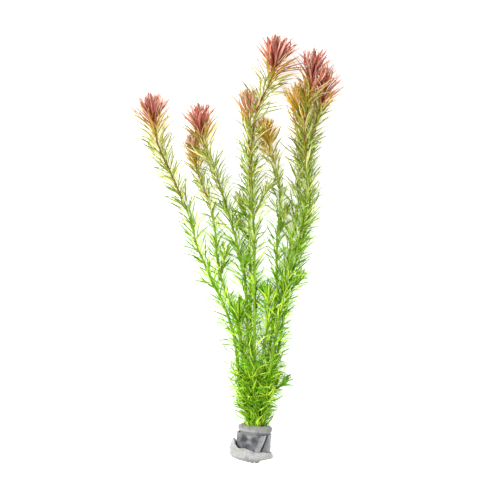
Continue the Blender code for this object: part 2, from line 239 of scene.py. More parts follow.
def smooth_route(knots: list[Vector], step: float, per_knot: int = 0) -> list[Vector]:
    """Draws a Catmull-Rom curve through the knots.

    Args:
        knots: the points that the route goes through.
        step: the rough distance between the points that come back.
        per_knot: how many points to give for each knot, where the step isn't to decide it.

    Returns:
        Points along the curve, with its two ends among them.
    """
    ends = [2 * knots[0] - knots[1], *knots, 2 * knots[-1] - knots[-2]]
    points = [knots[0]]
    for before, start, end, after in zip(ends, ends[1:], ends[2:], ends[3:]):
        slope, bend = end - before, 2 * before - 5 * start + 4 * end - after
        twist = 3 * start - before - 3 * end + after
        steps = per_knot or max(2, round((end - start).length / step))
        for part in (count / steps for count in range(1, steps + 1)):
            points.append(0.5 * (2 * start + slope * part + bend * part**2 + twist * part**3))
    return points


def eased(value: float, start: float, end: float) -> float:
    """Gives 0 before start, 1 after end, and a smooth rise between them."""
    share = min(1.0, max(0.0, (value - start) / (end - start)))
    return share * share * (3.0 - 2.0 * share)


def finished_mesh(shape: bmesh.types.BMesh, name: str, finish: Material | None = None) -> Mesh:
    """Turns a shape into a smooth-shaded mesh, and frees the shape.

    Args:
        shape: the shape.
        name: the mesh's name.
        finish: its material, if it has one yet.

    Returns:
        The mesh.
    """
    mesh = bpy.data.meshes.new(name)
    shape.to_mesh(mesh)
    shape.free()
    mesh.shade_smooth()
    if finish:
        mesh.materials.append(finish)
    return mesh


def add_piece(name: str, mesh: Mesh, node: str) -> Object:
    """Puts a finished mesh in the scene as a piece of the object.

    Args:
        name: the piece's name.
        mesh: its mesh, in the row frame.
        node: the CAD node that it stands for.

    Returns:
        The new object.
    """
    mesh.name = name
    piece = bpy.data.objects.new(name, mesh)
    bpy.context.scene.collection.objects.link(piece)
    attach(piece, BODY)
    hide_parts(node)
    return piece


# Finishes


@dataclass(frozen=True)
class LeafTissue:
    """Living leaf of an aquarium stem plant, grown under water.

    A thin waxy skin over soft tissue, still wet: a satin gloss and a little light coming
    through. It blushes from green over gold and orange to red near the growing tip, and is dulled
    at its end. It is painted paler along its midrib and darker at its margins, as painted light and
    shade of its folded blade. Some leaves are painted pale, yellow in the green part and cream and
    pink towards their ends in the red tufts, partly their own tone and partly painted highlights.
    Each leaf is also painted lighter or darker at random, past its own colour where it is vivid,
    partly its own tone and partly painted highlight and shade.
    """

    name: str = "rotala_leaf"
    base_colours: Stops = (
        (0.00, "BCD82A"), (0.16, "E6E07C"), (0.38, "F6C200"),
        (0.56, "D07452"), (0.78, "B20A1C"), (1.00, "94000C"),
    )
    end_colours: Stops = (
        (0.00, "6A9A12"), (0.16, "B2A844"), (0.38, "EEB000"),
        (0.56, "D29E92"), (0.78, "CC4446"), (1.00, "B41C26"),
    )
    dull_colours: Stops = ((0.00, "465A22"), (0.36, "CC9400"), (0.80, "A01C26"))
    vivid_base: str = "AEF004"
    vivid_end: str = "5ABC00"
    midrib_highlight: str = "ECE898"
    fresh_and_highlight: str = "DAE650"
    cream: str = "F0EAAC"
    pale_pink: str = "F6D0C2"
    grain: float = 0.5 * MM

    def make(self) -> Material:
        """Builds the leaf material from the attributes that the node tree stores.

        Returns:
            The material.
        """
        material, shader, node, (place, blush, dice, along, across, vivid) = new_material(
            self.name, "blush", "leaf_dice", "along_leaf", "across_leaf", "vivid"
        )
        spread = node(RANGE, blush, 0.0, 0.8, 0.08, 0.34)
        ripe = node("MULTIPLY", node("SUBTRACT", dice, 0.7), spread)
        ripe = node("ADD", blush, ripe)
        base, end, faded = (
            set_stops(node(RAMP, share), stops)
            for share, stops in (
                (ripe, self.base_colours), (ripe, self.end_colours), (blush, self.dull_colours)
            )
        )
        starts = node(RANGE, blush, 0.0, 0.8, 0.26, 0.62)
        dullest = node(RANGE, blush, 0.1, 0.4, 0.88, 0.42)
        dull = node(RANGE, along, starts, 0.95, 0.0, dullest)
        end = node(MIX, dull, end, faded, data_type="RGBA")
        base, end = (
            node(MIX, vivid, colour, linear(tint), data_type="RGBA")
            for colour, tint in ((base, self.vivid_base), (end, self.vivid_end))
        )
        outward = node(RANGE, along, 0.05, 0.8, interpolation_type="SMOOTHSTEP")
        # Painted highlight along the midrib of the folded blade.
        midrib = node(RANGE, across, 0.0, 0.5, node(RANGE, blush, 0.0, 0.5, 0.22, 0.05), 0.0)

        # Some leaves are painted pale, partly their own tone and partly painted highlights.
        fresh_and_highlight = node(RANGE, dice, 0.5, 1.0, 0.0, node(RANGE, blush, 0.0, 0.5, 0.72, 0.28))
        lot = node("FRACT", node("MULTIPLY", dice, 7.0))
        wan = node(RANGE, lot, 0.5, 0.6, 0.0, node(RANGE, blush, 0.4, 0.7, 0.0, 0.66))
        fresh_and_highlight = node("MAXIMUM", fresh_and_highlight, node("MULTIPLY", wan, outward))
        pale = linear(self.cream)
        for share, tint in ((vivid, self.fresh_and_highlight), (blush, self.pale_pink)):
            pale = node(MIX, share, pale, linear(tint), data_type="RGBA")
        blade = base
        for share, tint in ((outward, end), (midrib, linear(self.midrib_highlight)), (fresh_and_highlight, pale)):
            blade = node(MIX, share, blade, tint, data_type="RGBA")

        cells = node(NOISE, place, 1 / self.grain)
        # Each leaf is painted lighter or darker at random, past its own colour where it is vivid:
        # partly its own tone and partly painted highlight and shade.
        dark, clear, edge = (
            node(RANGE, vivid, 0.0, 1.0, *ends) for ends in ((0.55, 0.1), (1.45, 1.7), (0.5, 0.74))
        )
        light = node(RANGE, dice, 0.0, 1.0, dark, clear)
        # The margins are painted darker, as painted shade of the folded blade.
        for part in ((cells, 0.3, 0.7, 0.88, 1.12), (across, 0.35, 1.0, 1.0, edge)):
            light = node("MULTIPLY", light, node(RANGE, *part))
        connect(shader, {
            "Base Color": node("ShaderNodeHueSaturation", {"Color": blade, "Value": light}),
            "Normal": node(BUMP, 0.25, 0.05 * MM, {"Height": cells}),
            "Roughness": 0.36, "IOR": 1.42, "Specular IOR Level": 0.15, "Subsurface Weight": 0.3,
            "Subsurface Radius": (0.7, 1.0, 0.25), "Subsurface Scale": 0.4 * MM,
        })
        return material


@dataclass(frozen=True)
class StalkTissue:
    """Living stalk of an aquarium stem plant: smooth, juicy, with fine lengthways streaks.

    A soft wet gloss over green, turning dark brownish red where the shoot has blushed, and
    bruised brown in mottled fibres at its cut end.
    """

    name: str = "rotala_stalk"
    colours: Stops = (
        (0.00, "6C961E"), (0.12, "84862A"), (0.30, "8C5A22"), (0.55, "7A2A1A"), (1.00, "6E1216"),
    )
    pale: str = "AEC850"
    bruised: tuple[str, str] = ("423C20", "7A7244")
    patch: float = 2.4 * MM

    def make(self) -> Material:
        """Builds the stalk material from noise and from the stored blush and bruise.

        Returns:
            The material.
        """
        material, shader, node, (place, blush, bruise) = new_material(
            self.name, "blush", "bruise"
        )
        drawn = node("ShaderNodeMapping", place, {"Scale": (1.6, 0.3, 1.6)})
        patches = node(NOISE, drawn, 1 / self.patch, {"Detail": 4.0})
        green = node(RANGE, blush, 0.0, 0.4, 0.7, 0.1)
        streaks = node(RANGE, patches, 0.4, 0.7, 0.0, green)
        fibres = node(RANGE, node(NOISE, place, 2.5 / self.patch), 0.4, 0.6)
        cut = node(MIX, fibres, *(linear(tint) for tint in self.bruised), data_type="RGBA")
        colour = set_stops(node(RAMP, blush), self.colours)
        for share, tint in ((streaks, linear(self.pale)), (bruise, cut)):
            colour = node(MIX, share, colour, tint, data_type="RGBA")
        connect(shader, {
            "Base Color": colour, "Normal": node(BUMP, 0.3, 0.1 * MM, {"Height": patches}),
            "Roughness": 0.34, "IOR": 1.42, "Specular IOR Level": 0.2, "Subsurface Weight": 0.2,
            "Subsurface Radius": (0.6, 1.0, 0.2), "Subsurface Scale": 0.5 * MM,
        })
        return material


@dataclass(frozen=True)
class DampFoam:
    """Open-cell white polyether foam, cut from sheet, damp and a little soiled from the tank.

    It scatters light softly and never shines. Its pores, 0.4 mm across in the real foam, are
    drawn at 0.9 mm so that they show, and are painted darker as painted shade in them. It is greyer
    in its low places and towards its lower end, and its upper collar is darker, partly greyer foam
    and partly painted shade under the leaves.
    """

    name: str = "white_open_cell_foam"
    tints: Stops = ((0.34, "929A9F"), (0.46, "B6B6B4"), (0.56, "B6B6B4"), (0.68, "A6A498"))
    soil: str = "6E6F66"
    pore: float = 0.9 * MM
    speck: float = 1.6 * MM
    stain: float = 7.0 * MM

    def make(self) -> Material:
        """Builds the foam material, darker where the wrap stores its greying and its painted shade.

        Returns:
            The material.
        """
        material, shader, node, (place, specked, soil) = new_material(
            self.name, "specked", "soil"
        )
        stains = node(NOISE, place, 1 / self.stain, {"Detail": 5.0})
        clean = set_stops(node(RAMP, stains), self.tints)
        pores = node("ShaderNodeTexVoronoi", place, 1 / self.pore)
        # The pores are painted darker, as painted shade inside the holes.
        holes = node(RANGE, pores, 0.1, 0.5, 0.45, 0.0)
        specks = node(RANGE, node(NOISE, place, 1 / self.speck, {"Detail": 3.0}), 0.56, 0.66)
        dark = node("MAXIMUM", node("MULTIPLY_ADD", specks, specked, soil), holes)
        connect(shader, {
            "Base Color": node(MIX, dark, clean, linear(self.soil), data_type="RGBA"),
            "Normal": node(BUMP, 0.6, 0.3 * MM, {"Height": pores}), "Roughness": 0.92,
            "Subsurface Weight": 0.2, "Subsurface Radius": (1.0, 1.0, 1.0),
            "Subsurface Scale": 0.8 * MM,
        })
        return material


@dataclass(frozen=True)
class RolledLead:
    """Soft lead sheet, rolled, slit into strip and bent round by hand.

    The mill surface has dulled to a mid-grey oxide with darker blotches. Beside the lapped end it
    is painted bright, partly worn metal and partly painted highlight, and the lap is painted near
    black, partly dirt and partly painted shadow of the step.
    """

    name: str = "rolled_lead_sheet"
    oxides: Stops = ((0.36, "505154"), (0.5, "727274"), (0.66, "8A8B8E"))
    rubbed_highlight: str = "CFCFD0"
    grime: str = "17171A"
    patch: float = 4.0 * MM
    scratch: float = 0.35 * MM

    def make(self) -> Material:
        """Builds the lead material from noise and the strip's stored bands, partly worn metal and
        dirt, partly painted highlight and shadow.

        Returns:
            The material.
        """
        material, shader, node, (place, wear, grime) = new_material(self.name, "wear", "grime")
        patches = node(NOISE, place, 1 / self.patch, {"Detail": 6.0, "Roughness": 0.6})
        drawn = node("ShaderNodeMapping", place, {"Scale": (0.12, 1.0, 0.12)})
        scratches = node(NOISE, drawn, 1 / self.scratch)
        wear = node("MULTIPLY", wear, node(RANGE, scratches, 0.35, 0.65, 0.55, 1.0))
        colour = set_stops(node(RAMP, patches), self.oxides)
        # Mixes in a bright band beside the lapped end, partly worn metal and partly painted
        # highlight, and a near-black band in the lap, partly dirt and partly painted shadow.
        for share, tint in ((wear, self.rubbed_highlight), (grime, self.grime)):
            colour = node(MIX, share, colour, linear(tint), data_type="RGBA")
        connect(shader, {
            "Base Color": colour,
            "Roughness": node(RANGE, patches, 0.0, 1.0, 0.38, 0.62),
            # The dark band in the lap is not metallic, so that its painted shadow stays dark.
            "Metallic": node(RANGE, grime, 0.0, 1.0, 0.85, 0.0),
            "Normal": node(BUMP, 0.2, 0.08 * MM, {"Height": scratches}),
        })
        return material


@dataclass(frozen=True)
class OpalBoard:
    """Opal acrylic sheet with a little light coming up through it, as on a photographer's table."""

    name: str = "opal_acrylic_sheet"
    colour: str = "F4F4F4"
    glow: float = 0.6
    grain: float = 2.0 * MM

    def make(self) -> Material:
        """Builds the floor's material.

        Returns:
            The material.
        """
        material, shader, node, (place,) = new_material(self.name)
        grain = node(NOISE, place, 1 / self.grain)
        connect(shader, {
            "Base Color": linear(self.colour), "Roughness": 0.6,
            "Emission Color": (1.0, 1.0, 1.0, 1.0), "Emission Strength": self.glow,
            "Normal": node(BUMP, 0.05, 0.02 * MM, {"Height": grain}),
        })
        return material


# The plants


@dataclass
class NeedlePatterns:
    """The few needle leaves that every whorl repeats.

    Each is one unit long from its base at the origin to its tip on +Z, and one unit wide along X.
    Its upper face looks along +Y.
    """

    rings: int = 7
    half_thickness: float = 0.010
    fold: float = 0.018

    def half_width(self, along: float) -> float:
        """Gives the blade's half width, that share of the way to its tip."""
        return 0.5 * min(1.0, 0.26 + 1.55 * along) * (1.0 - along**3.4)

    def blade(self, name: str, bow: float, sway: float) -> Mesh:
        """Builds one leaf as a thin closed blade, folded along its midrib.

        Args:
            name: the leaf's name.
            bow: how far its middle stands off its face's side, as a share of its length.
            sway: how far its middle stands sideways, in leaf widths.

        Returns:
            Its mesh, with the places along and across the leaf stored as attributes.
        """
        shape = bmesh.new()
        along_layer = shape.verts.layers.float.new("along_leaf")
        across_layer = shape.verts.layers.float.new("across_leaf")
        rings = []
        for along in (number / self.rings for number in range(self.rings)):
            arc = 4 * along * (1 - along)
            middle = Vector((sway * arc, bow * arc, along))
            wide, thick = self.half_width(along), self.half_thickness * (1.1 - along)
            lifted = self.fold * 2 * wide
            corners = ((-wide, lifted, 1.0), (0, -thick, 0.0), (wide, lifted, 1.0), (0, thick, 0.0))
            ring = []
            for sideways, off_face, across in corners:
                vert = shape.verts.new(middle + Vector((sideways, off_face, 0)))
                vert[along_layer] = along
                vert[across_layer] = across
                ring.append(vert)
            rings.append(ring)
        tip = shape.verts.new((0, 0, 1))
        tip[along_layer] = 1.0
        sides = ((0, 1), (1, 2), (2, 3), (3, 0))
        for lower, upper in zip(rings, rings[1:]):
            for left, right in sides:
                shape.faces.new((lower[left], lower[right], upper[right], upper[left]))
        for left, right in sides:
            shape.faces.new((rings[-1][left], rings[-1][right], tip))
        shape.faces.new(rings[0][::-1])
        bmesh.ops.recalc_face_normals(shape, faces=shape.faces)
        for edge in shape.edges:
            edge.smooth = sum(vert[across_layer] for vert in edge.verts) < 1.9
        return finished_mesh(shape, name)

    def build(self) -> bpy.types.Collection:
        """Builds every form in a collection of its own, outside the scene, in the Enum's order.

        Returns:
            The collection.
        """
        patterns = bpy.data.collections.new("needle_patterns")
        for number, form in enumerate(LeafForm):
            mesh = self.blade(f"needle_{number}_{form.name.lower()}", *form.value)
            patterns.objects.link(bpy.data.objects.new(mesh.name, mesh))
        return patterns


@dataclass
class WhorlTree:
    """The geometry node tree that grows stalk and leaves along a shoot's centreline."""

    patterns: bpy.types.Collection
    leaf: Material
    stalk: Material
    joint_spacing: float = 4.6 * MM
    whorl_turn: float = 2.4
    leaves_kept: float = 0.93
    node: Adder = field(init=False)
    given: NodeOutputs = field(init=False)
    seeds: list[Node] = field(init=False)
    line: Node = field(init=False)
    length: Node = field(init=False)

    def build(self, sizes: dict[str, float | int]) -> GeometryNodeTree:
        """Builds the tree: the leaves, the stalk, and their place on the floor.

        Args:
            sizes: its inputs after the centreline, by name, with the values of a usual shoot.

        Returns:
            The tree.
        """
        tree = bpy.data.node_groups.new("whorled_shoot", "GeometryNodeTree")
        tree.is_modifier = True
        tree.interface.new_socket("Centreline", in_out="INPUT", socket_type="NodeSocketGeometry")
        for name, value in sizes.items():
            kind = "NodeSocketInt" if isinstance(value, int) else "NodeSocketFloat"
            socket = tree.interface.new_socket(name, in_out="INPUT", socket_type=kind)
            socket.default_value = value
        tree.interface.new_socket("Shoot", in_out="OUTPUT", socket_type="NodeSocketGeometry")
        node = self.node = partial(add_node, tree)
        given = self.given = node("NodeGroupInput").outputs
        self.seeds = [node("ADD", given["Seed"], 101.0 * number) for number in range(8)]
        self.line = node("GeometryNodeMeshToCurve", given["Centreline"])
        self.length = node("GeometryNodeCurveLength", self.line)
        shoot = node("GeometryNodeJoinGeometry")
        for grown in (self.grow_leaves(), self.grow_stalk()):
            connect(shoot, {0: grown})
        laid = self.lay_on_floor(node("GeometryNodeRealizeInstances", shoot))
        is_stalk = node("GeometryNodeInputNamedAttribute", "is_stalk", data_type="BOOLEAN")
        for selection, finish in ((True, self.leaf), (is_stalk, self.stalk)):
            laid = node("GeometryNodeSetMaterial", laid, selection, finish)
        node("NodeGroupOutput", laid)
        return tree

    def store(self, geometry: Node, values: dict[str, Node]) -> Node:
        """Stores numbers on points, for the materials to read.

        Args:
            geometry: the points.
            values: the attributes' names and values.

        Returns:
            The points with the attributes.
        """
        for name, value in values.items():
            geometry = self.node(STORE, geometry, True, name, value)
        return geometry

    def scaled(self, size: Node | NodeSocket, *steps: tuple) -> Node:
        """Scales a size by some factors.

        Args:
            size: the size.
            *steps: for each factor the value that it follows, the two ends of that value's
                range, and the factor at each end.

        Returns:
            The scaled size.
        """
        for step in steps:
            size = self.node("MULTIPLY", size, self.node(RANGE, *step))
        return size

    def blush_at(self, below: Node, stretch: float, power: float) -> Node:
        """Fades a shoot's blush from its tip downwards.

        Args:
            below: distance below the tip.
            stretch: how many blush lengths the fading takes.
            power: over 1 where it fades fastest at the tip, under 1 where it does so further down.

        Returns:
            The blush.
        """
        reach = self.node("MULTIPLY", self.given["Blush length"], stretch)
        left = self.node("POWER", self.node(RANGE, below, 0.0, reach, 1.0, 0.0), power)
        return self.node("MULTIPLY", left, self.given["Blush"])

    def leaf_blush(self, below: Node) -> Node:
        """Gives a leaf's blush: strong in the tuft, and a trace further down.

        Args:
            below: distance below the tip.

        Returns:
            The blush.
        """
        fading = (below, 3 * MM, self.given["Tuft blush ends"], 0.8, 0.0)
        tuft = self.node(RANGE, *fading, interpolation_type="SMOOTHSTEP")
        tuft = self.node("MULTIPLY", tuft, self.given["Blush"])
        return self.node("MULTIPLY_ADD", self.blush_at(below, 1.0, 1.0), 0.2, tuft)

    def grow_stalk(self) -> Node:
        """Grows a tapering stalk with a slight swelling at each joint and a bruised cut end.

        Returns:
            The stalk's mesh.
        """
        node, given = self.node, self.given
        reach = node("GeometryNodeSplineParameter").outputs["Length"]
        below = node("SUBTRACT", self.length, reach)
        end = node("SUBTRACT", self.length, given["Crown depth"])
        cut = node("GeometryNodeTrimCurve", self.line, True, 0.0, end, mode="LENGTH")
        fine = node("GeometryNodeResampleCurve", cut, {"Length": 0.9 * MM}, mode="LENGTH")
        bruise = node(RANGE, reach, 0.5 * MM, 4 * MM, 1.0, 0.0)
        fine = self.store(fine, {"blush": self.blush_at(below, 1.1, 0.9), "bruise": bruise})
        bent = node("POWER", node("DIVIDE", reach, self.length), 1.5)
        radius = node(RANGE, bent, 0.0, 1.0, given["Stalk radius"], given["Tip radius"])
        wave = node("COSINE", node("MULTIPLY", reach, 2 * math.pi / self.joint_spacing))
        radius = self.scaled(radius, (wave, 0.2, 1.0, 0.96, 1.14))
        ring = node("GeometryNodeCurvePrimitiveCircle", {"Resolution": 10, "Radius": 1.0})
        tube = node("GeometryNodeCurveToMesh", fine, ring, radius, {"Fill Caps": True})
        marked = node(STORE, tube, True, "is_stalk", True, data_type="BOOLEAN", domain="FACE")
        return node("GeometryNodeSetShadeSmooth", marked)

    def whorl_depth(self, whorl: Node) -> Node:
        """Gives a whorl's distance below the tip: they are close in the tuft and at the foot.

        Args:
            whorl: the whorl's number, from the tip.

        Returns:
            The distance.
        """
        node, given = self.node, self.given
        last = node("SUBTRACT", given["Whorls"], 1.0)
        foot = node("SUBTRACT", last, given["Foot whorls"])
        middle = self.length
        for name in ("Bare length", "Crown depth", "Tuft length", "Foot length"):
            middle = node("SUBTRACT", middle, given[name])
        depth = given["Crown depth"]
        for begin, end, stretch, power in (
            (0.0, given["Tuft whorls"], given["Tuft length"], 1.0),
            (given["Tuft whorls"], foot, middle, 1.4),
            (foot, last, given["Foot length"], 1.0),
        ):
            part = node("POWER", node(RANGE, whorl, begin, end), power)
            depth = node("MULTIPLY_ADD", part, stretch, depth)
        jitter = node(RANDOM, -0.5 * MM, 0.5 * MM, {"Seed": self.seeds[0]})
        return node("ADD", depth, jitter)

    def grow_leaves(self) -> Node:
        """Grows the leaves, in whorls that close up and stand steeper near the tip.

        Returns:
            The leaves, as instances.
        """
        node, given = self.node, self.given
        in_whorl = given["Leaves in a whorl"]
        points = node("GeometryNodePoints", node("MULTIPLY", given["Whorls"], in_whorl))
        index = node("GeometryNodeInputIndex")
        whorl = node("FLOOR", node("DIVIDE", index, in_whorl))
        below = self.whorl_depth(whorl)
        on_line = {"Curves": self.line, "Length": node("SUBTRACT", self.length, below)}
        spot = node("GeometryNodeSampleCurve", on_line, mode="LENGTH").outputs
        reach = node(SEPARATE, spot["Position"]).outputs["Y"]
        age = node(RANGE, reach, given["Foot zone starts"], 25 * MM)
        vivid = node(RANGE, reach, given["Vivid zone starts"], given["Vivid zone is full"])
        size = self.leaf_length(below, age)
        aim = self.leaf_aim(index, whorl, below, age, reach, spot)
        aim = self.clear_of_floor(aim, spot["Position"], size)
        placed = node("GeometryNodeSetPosition", points, {"Position": spot["Position"]})
        dice = node(RANDOM, {"Seed": self.seeds[5]})
        looks = {"blush": self.leaf_blush(below), "leaf_dice": dice, "vivid": vivid}
        kept = node(RANDOM, self.leaves_kept, {"Seed": self.seeds[6]}, data_type="BOOLEAN")
        forms = (node(RANGE, age, 0.3, 1.0, 0.0, 2.0), node(RANGE, age, 0.2, 0.6, 3.0, 6.0))
        width = self.scaled(
            given["Leaf width"], (below, 6 * MM, 28 * MM, 1.04, 0.88), (age, 0.0, 1.0, 1.0, 0.92)
        )
        return node("GeometryNodeInstanceOnPoints", {
            "Points": self.store(placed, looks),
            "Selection": kept,
            "Instance": node("GeometryNodeCollectionInfo", self.patterns, True, True),
            "Pick Instance": True,
            "Instance Index": node(RANDOM, *forms, {"Seed": self.seeds[7]}, data_type="INT"),
            "Rotation": self.leaf_turn(aim, spot["Tangent"]),
            "Scale": node(COMBINE, width, size, size),
        })

    def leaf_length(self, below: Node, age: Node) -> Node:
        """Gives a leaf's length, longest just below the growing point.

        Args:
            below: distance below the tip.
            age: 0 in the upper part, 1 at the foot.

        Returns:
            The length.
        """
        node, crown = self.node, self.given["Crown depth"]
        tuft_end = node("ADD", self.given["Tuft length"], crown)
        least = node(RANGE, below, 0.0, 25 * MM, 0.84, 0.68)
        size = self.scaled(
            self.given["Leaf length"],
            (below, crown, tuft_end, 1.0, 1.42),
            (below, tuft_end, 36 * MM, 1.0, 0.78),
            (below, 36 * MM, 120 * MM, 1.0, 0.9),
            (age, 0.0, 1.0, 1.0, 0.7),
        )
        return node("MULTIPLY", size, node(RANDOM, least, 1.1, {"Seed": self.seeds[1]}))

    def leaf_aim(
        self, index: Node, whorl: Node, below: Node, age: Node, reach: NodeSocket,
        spot: NodeOutputs,
    ) -> Node:
        """Gives the direction that a leaf points in.

        Args:
            index: the leaf's number.
            whorl: its whorl's number, from the tip.
            below: distance below the tip.
            age: 0 in the upper part, 1 at the foot.
            reach: how far from the foot's middle it grows, along +Y.
            spot: the centreline's tangent and normal there.

        Returns:
            The unit direction.
        """
        node, given = self.node, self.given
        pull = node(COMBINE, {"Y": node(RANGE, below, 0.0, 25 * MM, 0.5, 0.0)})
        axis = node(VECTOR, spot["Tangent"], pull, operation="ADD")
        axis = node(VECTOR, axis, operation="NORMALIZE")
        step = node("DIVIDE", 2 * math.pi, given["Leaves in a whorl"])
        bearing = node("MULTIPLY_ADD", whorl, self.whorl_turn, node("MULTIPLY", index, step))
        bearing = node("ADD", bearing, node(RANDOM, -0.35, 0.35, {"Seed": self.seeds[2]}))
        side = node(TURN, spot["Normal"], {"Axis": axis, "Angle": bearing})
        hinge = node(VECTOR, axis, side, operation="CROSS_PRODUCT")

        crown = given["Crown depth"]
        tuft_end = node("MULTIPLY_ADD", given["Tuft length"], 1.5, crown)
        leans = (given["Lean at crown"], given["Lean below tuft"])
        young = node(RANGE, below, crown, tuft_end, *leans)
        oldest = node("MULTIPLY_ADD", age, 0.3, given["Lean of old leaves"])
        usual = node(RANGE, below, tuft_end, 45 * MM, young, oldest)
        untidy = node(RANGE, age, 0.0, 1.0, node(RANGE, below, 0.0, 30 * MM, 0.26, 0.4), 0.85)
        luck = node(RANDOM, -1.0, 1.0, {"Seed": self.seeds[3]})
        most = node(RANGE, reach, 11 * MM, 26 * MM, 0.7, 1.7)
        lean = node("MINIMUM", node("MULTIPLY_ADD", luck, untidy, usual), most)
        return node(TURN, axis, {"Axis": hinge, "Angle": lean})

    def leaf_turn(self, aim: Node, tangent: NodeSocket) -> Node:
        """Points a leaf along its aim, with its face towards the tip and upwards.

        Args:
            aim: the direction that the leaf points in.
            tangent: the stem's direction where it grows.

        Returns:
            The rotation.
        """
        node, align = self.node, "FunctionNodeAlignRotationToVector"
        spread = ((-0.7, -0.7, 0.1), (0.7, 0.7, 1.1))
        askew = node(RANDOM, *spread, {"Seed": self.seeds[4]}, data_type="FLOAT_VECTOR")
        face = node(VECTOR, tangent, askew, operation="ADD")
        turned = node(align, {"Vector": aim}, axis="Z")
        return node(align, turned, {"Vector": face}, axis="Y", pivot_axis="Z")

    def clear_of_floor(self, aim: Node, start: NodeSocket, size: Node) -> Node:
        """Splays a leaf which would reach under the floor or too high.

        Args:
            aim: the direction it would grow in.
            start: where it grows.
            size: its length.

        Returns:
            The unit direction it takes instead.
        """
        node = self.node
        parts = node(SEPARATE, aim).outputs
        height = node(SEPARATE, start).outputs["Z"]
        drop = parts["Z"]
        for limit, choice in (("Floor clearance", "MAXIMUM"), ("Ceiling", "MINIMUM")):
            steepest = node("DIVIDE", node("SUBTRACT", self.given[limit], height), size)
            drop = node(choice, drop, steepest)
        # The level part of the direction grows as its drop shrinks, and keeps its bearing. The
        # 1.0001 keeps the division from failing for a leaf that stands upright.
        left = node("SUBTRACT", 1.0, node("MULTIPLY", drop, drop))
        had = node("SUBTRACT", 1.0001, node("MULTIPLY", parts["Z"], parts["Z"]))
        grow = node("SQRT", node("DIVIDE", left, had))
        level = node(VECTOR, node(COMBINE, parts["X"], parts["Y"]), grow, operation="SCALE")
        return node(VECTOR, level, node(COMBINE, {"Z": drop}), operation="ADD")

    def lay_on_floor(self, shoot: Node) -> Node:
        """Presses whatever dips under the floor flat on it, without folding it.

        Args:
            shoot: the whole shoot.

        Returns:
            The shoot on the floor.
        """
        node, soft = self.node, self.given["Floor clearance"]
        parts = node(SEPARATE, node("GeometryNodeInputPosition")).outputs
        over = node("DIVIDE", node("SUBTRACT", parts["Z"], soft), soft)
        pressed = node("MULTIPLY", node("EXPONENT", node("MINIMUM", over, 0.0)), soft)
        height = node("MAXIMUM", parts["Z"], pressed)
        laid = node(COMBINE, parts["X"], parts["Y"], height)
        return node("GeometryNodeSetPosition", shoot, {"Position": laid})


@dataclass
class Shoot:
    """One stem or side shoot, with its route above the foam or its fork.

    Its lengths are in millimetres and its angles in degrees. A stem's seat in the foam is its
    distance from the foot's axis and its bearing there, from the right towards the top.
    """

    name: str
    blush: Blush
    blush_length: float
    knots: list[tuple[float, float, float]]
    seat: tuple[float, float] | None = None
    leaf_length: float = 14
    leaf_width: float = 1.06
    stalk_radius: float = 0.9
    tip_radius: float = 0.5
    crown_depth: float = 2.2
    tuft_length: float = 4.2
    tuft_whorls: int = 6
    crown_lean: float = 10
    tuft_lean: float = 38
    tuft_blush_ends: float = 24
    whorl_spacing: float = 3.6
    foot_length: float = 36
    foot_spacing: float = 1.5
    leaves_in_whorl: int = 8

    def route(self) -> list[Vector]:
        """Draws the shoot's centreline, with its part inside the foam if it starts there.

        Returns:
            Its points, in metres.
        """
        knots = [Vector(knot) * MM for knot in self.knots]
        if self.seat:
            radius, bearing = self.seat[0] * MM, math.radians(self.seat[1])
            sideways, height = radius * math.cos(bearing), FOOT_HEIGHT + radius * math.sin(bearing)
            ends = (FOAM_LOWER_END - 0.7 * MM, FOAM_UPPER_END + 0.6 * MM)
            knots = [foot_point(sideways, along, height) for along in ends] + knots
        return smooth_route(knots, 1.0 * MM)

    def sizes(self, number: int) -> dict[str, float | int]:
        """Works out the whorl tree's inputs.

        Args:
            number: the shoot's number, which seeds its random choices.

        Returns:
            The inputs by name.
        """
        points = self.route()
        length = sum((after - before).length for before, after in zip(points, points[1:]))
        # A stem's leaves start a little inside the foam's upper end, a side shoot's at its fork.
        in_foam = (FOAM_UPPER_END - FOAM_LOWER_END) / MM - 1.6
        lengths = {
            "Bare length": in_foam if self.seat else 1.2,
            "Crown depth": self.crown_depth,
            "Tuft length": self.tuft_length,
            "Foot length": self.foot_length,
        }
        middle = max(1, round((length / MM - sum(lengths.values())) / self.whorl_spacing))
        foot = max(1, round(self.foot_length / self.foot_spacing))
        lengths |= {
            "Stalk radius": self.stalk_radius,
            "Tip radius": self.tip_radius,
            "Leaf length": self.leaf_length,
            "Leaf width": self.leaf_width,
            "Blush length": self.blush_length,
            "Tuft blush ends": self.tuft_blush_ends,
            "Foot zone starts": 100 if self.seat else 26,
            "Vivid zone starts": 145,
            "Vivid zone is full": 85,
            "Floor clearance": 0.3,
            "Ceiling": 23.2,
        }
        return {name: value * MM for name, value in lengths.items()} | {
            "Whorls": self.tuft_whorls + middle + foot + 1,
            "Tuft whorls": self.tuft_whorls,
            "Foot whorls": foot,
            "Leaves in a whorl": self.leaves_in_whorl,
            "Lean at crown": math.radians(self.crown_lean),
            "Lean below tuft": math.radians(self.tuft_lean),
            "Lean of old leaves": math.radians(44),
            "Blush": self.blush.value,
            "Seed": 40 + number,
        }

    def build(self, tree: GeometryNodeTree, number: int) -> Object:
        """Grows the shoot along its route, and keeps it as a plain mesh.

        Args:
            tree: the whorl tree.
            number: the shoot's number, which seeds its random choices.

        Returns:
            The finished piece.
        """
        points = self.route()
        line = bpy.data.meshes.new(f"{self.name}_line")
        line.from_pydata(points, [(start, start + 1) for start in range(len(points) - 1)], [])
        guide = bpy.data.objects.new(f"{self.name}_guide", line)
        bpy.context.scene.collection.objects.link(guide)
        grower = guide.modifiers.new("Whorls", "NODES")
        grower.node_group = tree
        sizes = self.sizes(number)
        for item in tree.interface.items_tree:
            if item.name in sizes:
                grower[item.identifier] = sizes[item.name]
        graph = bpy.context.evaluated_depsgraph_get()
        mesh = bpy.data.meshes.new_from_object(guide.evaluated_get(graph))
        bpy.data.objects.remove(guide, do_unlink=True)
        return add_piece(f"{self.name}_foliage", mesh, self.name)


